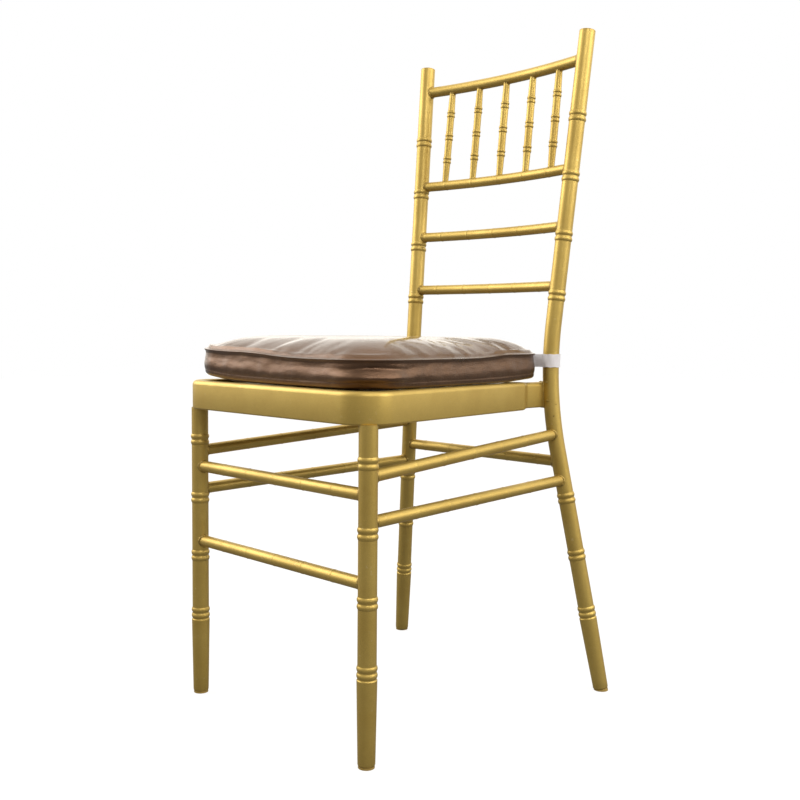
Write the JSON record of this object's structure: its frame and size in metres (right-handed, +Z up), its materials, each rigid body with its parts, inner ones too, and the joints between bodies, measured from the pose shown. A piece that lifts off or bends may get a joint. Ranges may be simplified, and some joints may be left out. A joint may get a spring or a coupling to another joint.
{
  "type": "chiavari chair",
  "caption": "Banquet chair of gold-painted metal tube with beaded legs, bowed back rails, turned spindles, a flat seat hoop and a loose cushion tied on at the back.",
  "frame": {"origin": "on the floor, under the middle of the chair's bounding box", "axes": "+X to the sitter's left, -Y to the front, +Z up along the rear posts' height"},
  "size_m": [0.4216, 0.4581, 0.916],
  "materials": {
    "gold_paint": "glossy metallic gold paint on steel",
    "gold_plastic": "moulded nylon painted over with the frame",
    "leatherette": "coated cloth, bronze brown with a satin metallic sheen",
    "strap_cloth": "white woven strap"
  },
  "bodies": {
    "frame": {"back_rail_lower": "gold_paint", "back_rail_middle": "gold_paint", "back_rail_top": "gold_paint", "back_rail_upper": "gold_paint", "front_glide_left": "gold_plastic", "front_glide_right": "gold_plastic", "front_leg_left": "gold_paint", "front_leg_right": "gold_paint", "front_rung_lower": "gold_paint", "front_rung_upper": "gold_paint", "post_plug_left": "gold_plastic", "post_plug_right": "gold_plastic", "rear_glide_left": "gold_plastic", "rear_glide_right": "gold_plastic", "rear_post_left": "gold_paint", "rear_post_right": "gold_paint", "rear_rung": "gold_paint", "seat_hoop": "gold_paint", "seat_pan": "gold_paint", "seat_rear_rail": "gold_paint", "side_rung_left_lower": "gold_paint", "side_rung_left_upper": "gold_paint", "side_rung_right_lower": "gold_paint", "side_rung_right_upper": "gold_paint", "spindle_1": "gold_paint", "spindle_2": "gold_paint", "spindle_3": "gold_paint", "spindle_4": "gold_paint", "spindle_5": "gold_paint", "strap_loop_left": "strap_cloth", "strap_loop_right": "strap_cloth"},
    "cushion": {"cushion": "leatherette", "strap_tab_left": "strap_cloth", "strap_tab_right": "strap_cloth"}
  },
  "joints": [
    {"name": "cushion_tilt", "type": "hinge", "parent": "frame", "child": "cushion", "pos_m": [0, 0.149, 0.46], "axis": [-1, 0, 0], "range_deg": [0, 70]}
  ]
}
